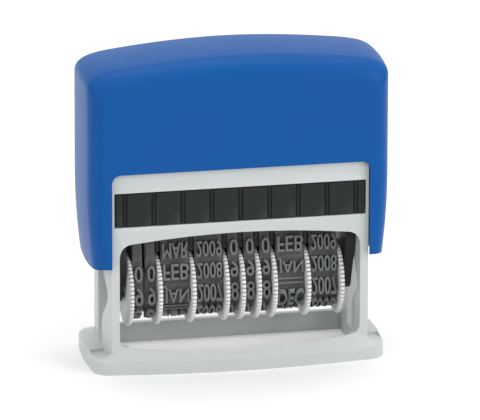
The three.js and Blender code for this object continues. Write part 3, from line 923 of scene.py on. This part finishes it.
wheelSizes = {
    "ribs": 54,
    "stepsPerRib": 14,
    "ribDepth": 0.55,
    "ribFoot": 1,  # how far in from the rim the ribs run out
    "ribPinch": 0.6,  # how much thinner the rim is between ribs
    "thickness": 1.1,
    "rimRound": 0.48,
    "rimSteps": 5,
    "hubRadius": 4.85,
    "bore": 1.5,
    "count": 9,
    "smoothAngle": 50,
}


def wheelProfile(sizes, radius, hubLength):
    # Closed outline of half the wheel: how far along the axis from the disc's outer face, and
    # how far from the axis
    thick, rimRound, hub = sizes["thickness"], sizes["rimRound"], sizes["hubRadius"]
    flatRadius = radius - 2 * rimRound
    profile = [(0, sizes["bore"]), (0, flatRadius)]
    for side, start in ((-1, math.pi), (1, math.pi / 2)):
        middle = thick / 2 + side * (thick / 2 - rimRound)
        for step in range(sizes["rimSteps"] + 1):
            angle = start - math.pi / 2 * step / sizes["rimSteps"]
            out = radius - rimRound + rimRound * math.sin(angle)
            profile.append((middle + rimRound * math.cos(angle), out))
    profile += [(thick, flatRadius), (thick, hub), (hubLength, hub), (hubLength, sizes["bore"])]
    return profile


def buildWheel(number, sizes):
    low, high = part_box(f"date_wheel_{number}")
    radius = (high.y - low.y) / 2
    axisHeight = (high.z + low.z) / 2
    outer, inwards = (low.x, 1) if number == 1 else (high.x, -1)
    bm = bmesh.new()
    profile = wheelProfile(sizes, radius / mm, (high.x - low.x) / mm)
    line = [bm.verts.new((outer + inwards * x * mm, r * mm, 0)) for x, r in profile]
    edges = [bm.edges.new(pair) for pair in zip(line, line[1:] + line[:1])]
    bmesh.ops.spin(
        bm, geom=line + edges, axis=(1, 0, 0), cent=(0, 0, 0), angle=2 * math.pi,
        steps=sizes["ribs"] * sizes["stepsPerRib"], use_merge=True,
    )
    # Masks for the painted highlight on the bead tops and the painted shade in the grooves
    beadHighlight = bm.verts.layers.float.new("beadHighlight")
    grooveShade = bm.verts.layers.float.new("grooveShade")
    middle = outer + inwards * sizes["thickness"] / 2 * mm
    for v in bm.verts:
        reach = math.hypot(v.co.y, v.co.z)
        share = min(1, max(0, (reach - radius) / mm / sizes["ribFoot"] + 1))
        across = math.atan2(v.co.z, v.co.y) * sizes["ribs"] / (2 * math.pi) % 1 * 2 - 1
        valley = 1 - math.sqrt(max(0, 1 - across ** 2))
        shrink = 1 - share * valley * sizes["ribDepth"] * mm / reach
        v.co.y *= shrink
        v.co.z *= shrink
        v.co.x += (middle - v.co.x) * share * valley * sizes["ribPinch"]
        v[beadHighlight] = share * (1 - valley)
        v[grooveShade] = share * valley
    bmesh.ops.translate(bm, verts=bm.verts, vec=(0, 0, axisHeight))
    bmesh.ops.recalc_face_normals(bm, faces=bm.faces)
    grey = plastics["wheelGrey"]
    wheel = pieceFromMesh(f"thumbWheel{number}", bm, grey, sizes["smoothAngle"])
    settle(wheel, f"wheel_{number}", "wheel_plastic", f"date_wheel_{number}")


for wheelNumber in range(1, wheelSizes["count"] + 1):
    buildWheel(wheelNumber, wheelSizes)
print("thumbwheels built")


# Bands

months = (
    "JAN", "FEB", "MAR", "APR", "MAY", "JUN", "JUL", "AUG", "SEP", "OCT", "NOV", "DEC",
)
digitRow = ("", "0", "9", "8", "7", "6", "5", "4", "3", "2", "1", "/")
bandSizes = {
    "hubRadius": 4.85,
    "gap": 0.3,
    "thickness": 0.9,
    "relief": 0.6,  # type above the band
    "blankRelief": 0.48,  # the empty place's block
    "padRelief": 0.1,  # low pad that each word stands on
    "padLength": 4.6,
    "padMargin": 0.08,
    "typeHeight": 3.9,
    "strokeGain": 0.022,  # how much heavier the strokes are than the font's
    "margin": 0.25,
    "bevel": 0.05,
    "bridgeHalfDepth": 1.9,
    "cornerRadius": 0.2,
    "places": 12,
    "monthPitch": 5.16,
    "barPitch": 2.5,
    "barGap": 0.35,
    "barWidth": 0.4,
    "barCuts": 3,
    "blockCuts": 5,
    "facesAcross": 6,
    "facesAlong": 200,
    "sag": 1.1,  # how far the rows lag behind at the middle of the front
    "smoothAngle": 40,
}
bandText = {
    1: {"kind": "digits", "first": 10},
    2: {"kind": "digits", "first": 10},
    3: {"kind": "months", "first": 4},
    4: {"kind": "years", "first": 2011},
    5: {"kind": "digits", "first": 11},
    6: {"kind": "digits", "first": 11},
    7: {"kind": "digits", "first": 11},
    8: {"kind": "months", "first": 3},
    9: {"kind": "years", "first": 2011},
}


def beltRoute(sizes, outside, bridgeTop, axisHeight):
    # The stretches of a belt round the hub and the bridge with their lengths, in millimetres,
    # from the printing line down the front
    hub = sizes["hubRadius"] + outside
    nose = sizes["cornerRadius"] + outside
    noseY = sizes["bridgeHalfDepth"] - sizes["cornerRadius"]
    noseZ = bridgeTop - sizes["cornerRadius"]
    rise = noseZ - axisHeight
    lean = math.asin((hub - nose) / math.hypot(noseY, rise)) - math.atan2(noseY, rise)
    frontOff = Vector((-math.cos(lean), math.sin(-lean)))
    backOff = Vector((math.cos(lean), math.sin(-lean)))
    frontNose, backNose = Vector((-noseY, noseZ)), Vector((noseY, noseZ))
    hubMiddle = Vector((0, axisHeight))
    stretches = [
        ("line", Vector((0, noseZ + nose)), Vector((-noseY, noseZ + nose))),
        ("arc", frontNose, nose, math.pi / 2, math.pi + lean),
        ("line", frontNose + frontOff * nose, hubMiddle + frontOff * hub),
        ("arc", hubMiddle, hub, math.pi + lean, 2 * math.pi - lean),
        ("line", hubMiddle + backOff * hub, backNose + backOff * nose),
        ("arc", backNose, nose, -lean, math.pi / 2),
        ("line", Vector((noseY, noseZ + nose)), Vector((0, noseZ + nose))),
    ]
    route = []
    for stretch in stretches:
        if stretch[0] == "line":
            length = (stretch[2] - stretch[1]).length
        else:
            length = abs(stretch[4] - stretch[3]) * stretch[2]
        route.append((stretch, length))
    return route


def alongRoute(route, distance):
    # Place and outward direction (in Y and Z) at a distance along the belt
    for stretch, length in route:
        if distance <= length:
            break
        distance -= length
    share = min(1, distance / length) if length else 0
    if stretch[0] == "line":
        run = (stretch[2] - stretch[1]).normalized()
        return stretch[1].lerp(stretch[2], share), Vector((run.y, -run.x))
    angle = stretch[3] + (stretch[4] - stretch[3]) * share
    out = Vector((math.cos(angle), math.sin(angle)))
    return stretch[1] + out * stretch[2], out


def wordMesh(word, height, width, sizes):
    # A word as raised type of even stroke, its foot at zero, centred across and along
    text = bpy.data.curves.new("word", "FONT")
    text.body = word
    text.resolution_u = 3
    holder = bpy.data.objects.new("word", text)
    bpy.context.scene.collection.objects.link(holder)
    graph = bpy.context.evaluated_depsgraph_get()
    lines = holder.evaluated_get(graph).to_curve(graph).copy()
    bpy.data.objects.remove(holder)
    knots = [point.co for spline in lines.splines for point in spline.bezier_points]
    xs = [p.x for p in knots]
    ys = [p.y for p in knots]
    heavier = sizes["strokeGain"]
    stretch = Vector((
        (width - 2 * heavier) / (max(xs) - min(xs)),
        (height - 2 * heavier) / (max(ys) - min(ys)),
        1,
    ))
    centre = Vector(((min(xs) + max(xs)) / 2, (min(ys) + max(ys)) / 2, 0))
    lines.transform(Matrix.Diagonal((*stretch, 1)) @ Matrix.Translation(-centre))
    lines.dimensions = "2D"
    lines.fill_mode = "BOTH"
    lines.bevel_depth = sizes["bevel"]
    lines.bevel_resolution = 1
    lines.offset = heavier - sizes["bevel"]
    lines.extrude = sizes["relief"] / 2
    holder = bpy.data.objects.new("word", lines)
    bpy.context.scene.collection.objects.link(holder)
    graph = bpy.context.evaluated_depsgraph_get()
    raised = bpy.data.meshes.new_from_object(holder.evaluated_get(graph))
    bpy.data.objects.remove(holder)
    raised.transform(Matrix.Translation((0, 0, sizes["relief"] / 2 - sizes["bevel"])))
    return raised


def bandRows(text, sizes, total):
    # The words round a band with the distance of each from the printing line
    rows = []
    if text["kind"] == "months":
        distance = 0
        for i in range(sizes["places"]):
            month = (text["first"] - i) % len(months)
            rows.append((months[month], distance))
            distance += sizes["monthPitch"]
            if month == 0:
                rows.append(("=", distance - sizes["monthPitch"] / 2 + sizes["barPitch"] / 2))
                distance += sizes["barPitch"]
        return rows
    pitch = total / sizes["places"]
    for i in range(sizes["places"]):
        if text["kind"] == "years":
            word = str(text["first"] - i)
        else:
            word = digitRow[(text["first"] + i) % len(digitRow)]
        rows.append((word, i * pitch))
    return rows


def addInto(target, bm, distance):
    mesh = bpy.data.meshes.new("part")
    bm.to_mesh(mesh)
    bm.free()
    mesh.transform(Matrix.Translation((0, distance, 0)))
    target.from_mesh(mesh)
    bpy.data.meshes.remove(mesh)


def flatBlock(halfWidth, low, high, foot, top, cuts):
    bm = boxShape((-halfWidth, low, foot), (halfWidth, high, top))
    bmesh.ops.subdivide_edges(bm, edges=bm.edges[:], cuts=cuts, use_grid_fill=True)
    return bm


def bandStrip(width, total, sizes, text, printed):
    # The band laid out flat in millimetres: x across, y along from the printing line and
    # z outwards
    bm = bmesh.new()
    across, along = sizes["facesAcross"], sizes["facesAlong"]
    bmesh.ops.create_grid(bm, x_segments=across, y_segments=along, size=0.5)
    for v in bm.verts:
        v.co.x *= width
        v.co.y *= total
    made = bmesh.ops.extrude_face_region(bm, geom=bm.faces[:])
    moved = [v for v in made["geom"] if isinstance(v, bmesh.types.BMVert)]
    bmesh.ops.translate(bm, verts=moved, vec=(0, 0, -sizes["thickness"]))
    ends = [f for f in bm.faces if all(abs(abs(v.co.y) - total / 2) < 1e-4 for v in f.verts)]
    bmesh.ops.delete(bm, geom=ends, context="FACES")
    half = width / 2 - sizes["margin"]
    foot, top = -sizes["thickness"] / 4, sizes["relief"]
    for word, distance in bandRows(text, sizes, total):
        distance += sizes["sag"] * math.sin(math.pi * distance / total)
        length = sizes["padLength"] / 2
        if word == "=":
            length = sizes["barPitch"] / 2
            for low in (-sizes["barGap"] - sizes["barWidth"], sizes["barGap"]):
                bar = flatBlock(half, low, low + sizes["barWidth"], foot, top, sizes["barCuts"])
                addInto(bm, bar, distance)
        elif word == "":
            reach = sizes["typeHeight"] / 2
            blank = flatBlock(half, -reach, reach, foot, sizes["blankRelief"], sizes["blockCuts"])
            addInto(bm, blank, distance)
        else:
            if word not in printed:
                printed[word] = wordMesh(word, sizes["typeHeight"], 2 * half, sizes)
            letters = printed[word].copy()
            letters.transform(Matrix.Translation((0, distance, 0)))
            bm.from_mesh(letters)
            bpy.data.meshes.remove(letters)
        edge = width / 2 - sizes["padMargin"]
        pad = flatBlock(edge, -length, length, foot, sizes["padRelief"], sizes["blockCuts"])
        addInto(bm, pad, distance)
    return bm


def buildBand(number, sizes, text, printed):
    low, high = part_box(f"date_band_{number}")
    wheelLow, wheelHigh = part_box(f"date_wheel_{number}")
    axisHeight = (wheelLow.z + wheelHigh.z) / 2
    bridgeTop = high.z - (sizes["relief"] + sizes["thickness"] + sizes["gap"]) * mm
    outside = sizes["gap"] + sizes["thickness"]
    route = beltRoute(sizes, outside, bridgeTop / mm, axisHeight / mm)
    total = sum(length for _, length in route)
    bm = bandStrip((high.x - low.x) / mm, total, sizes, text, printed)
    raised = bm.verts.layers.float.new("raised")
    middleX = (high.x + low.x) / 2
    for v in bm.verts:
        v[raised] = min(1, max(0, v.co.z / sizes["relief"]))
        place, out = alongRoute(route, v.co.y % total)
        y, z = place + out * v.co.z
        v.co = Vector((middleX + v.co.x * mm, y * mm, z * mm))
    bmesh.ops.remove_doubles(bm, verts=bm.verts, dist=weldGap)
    bmesh.ops.recalc_face_normals(bm, faces=bm.faces)
    band = pieceFromMesh(f"dateBand{number}", bm, rubber, sizes["smoothAngle"])
    settle(band, "carriage", "band_rubber", f"date_band_{number}")


printedWords = {}
for bandNumber, words in bandText.items():
    buildBand(bandNumber, bandSizes, words, printedWords)
print("bands built")


# Floor, world and lamps

stageSetup = {
    "floorSize": 6,  # this and the lamps' places and sizes are in metres
    "floorColour": (0.86, 0.86, 0.86, 1),
    "floorRoughness": 0.9,
    "floorGlow": 0.15,
    "worldStrength": 0.7,
    "lampsAimAt": (0, 0, 0.04),
    "lamps": {
        "leftLamp": ((-1.4, -1.0, 0.9), 1.0, 4.5),
        "rightLamp": ((1.35, -1.2, 0.75), 0.9, 11.5),
        "topLamp": ((0.1, 0.3, 1.7), 1.2, 11),
    },
}


def seenRays(tree):
    # One for the rays that show the backdrop: the camera's, and those off gloss or through glass
    path = tree.nodes.new("ShaderNodeLightPath")
    seen = path.outputs["Is Camera Ray"]
    for kind in ("Is Glossy Ray", "Is Transmission Ray"):
        either = tree.nodes.new("ShaderNodeMath")
        either.operation = "MAXIMUM"
        linkUp(tree, (seen, either.inputs[0]), (path.outputs[kind], either.inputs[1]))
        seen = either.outputs[0]
    return seen


def buildFloor(setup):
    bm = bmesh.new()
    bmesh.ops.create_grid(bm, x_segments=1, y_segments=1, size=setup["floorSize"])
    material, tree, shader = newMaterial("paleFloor")
    shader.inputs["Base Color"].default_value = setup["floorColour"]
    shader.inputs["Roughness"].default_value = setup["floorRoughness"]
    shader.inputs["Specular IOR Level"].default_value = 0
    glow = tree.nodes.new("ShaderNodeEmission")
    glow.inputs["Strength"].default_value = setup["floorGlow"]
    add = tree.nodes.new("ShaderNodeAddShader")
    pick = tree.nodes.new("ShaderNodeMixShader")
    linkUp(
        tree,
        (shader.outputs[0], add.inputs[0]),
        (glow.outputs[0], add.inputs[1]),
        (seenRays(tree), pick.inputs[0]),
        (shader.outputs[0], pick.inputs[1]),
        (add.outputs[0], pick.inputs[2]),
        (pick.outputs[0], tree.nodes["Material Output"].inputs["Surface"]),
    )
    pieceFromMesh("paleFloor", bm, material)


def buildWorld(setup):
    world = bpy.data.worlds.new("studio")
    world.use_nodes = True
    bpy.context.scene.world = world
    sky = world.node_tree
    light = sky.nodes["Background"]
    light.inputs["Color"].default_value = (1, 1, 1, 1)
    light.inputs["Strength"].default_value = setup["worldStrength"]
    white = sky.nodes.new("ShaderNodeBackground")
    white.inputs["Color"].default_value = (1, 1, 1, 1)
    choose = sky.nodes.new("ShaderNodeMixShader")
    linkUp(
        sky,
        (seenRays(sky), choose.inputs[0]),
        (light.outputs[0], choose.inputs[1]),
        (white.outputs[0], choose.inputs[2]),
        (choose.outputs[0], sky.nodes["World Output"].inputs["Surface"]),
    )


def buildLamps(setup):
    for name, (place, size, power) in setup["lamps"].items():
        lamp = bpy.data.lights.new(name, "AREA")
        lamp.size = size
        lamp.energy = power
        holder = bpy.data.objects.new(name, lamp)
        bpy.context.scene.collection.objects.link(holder)
        aim = Vector(setup["lampsAimAt"]) - Vector(place)
        turn = aim.to_track_quat("-Z", "Y").to_matrix().to_4x4()
        holder.matrix_world = Matrix.Translation(place) @ turn


buildFloor(stageSetup)
buildWorld(stageSetup)
buildLamps(stageSetup)
bpy.context.scene.view_settings.view_transform = "Standard"
print("stage and lamps placed")
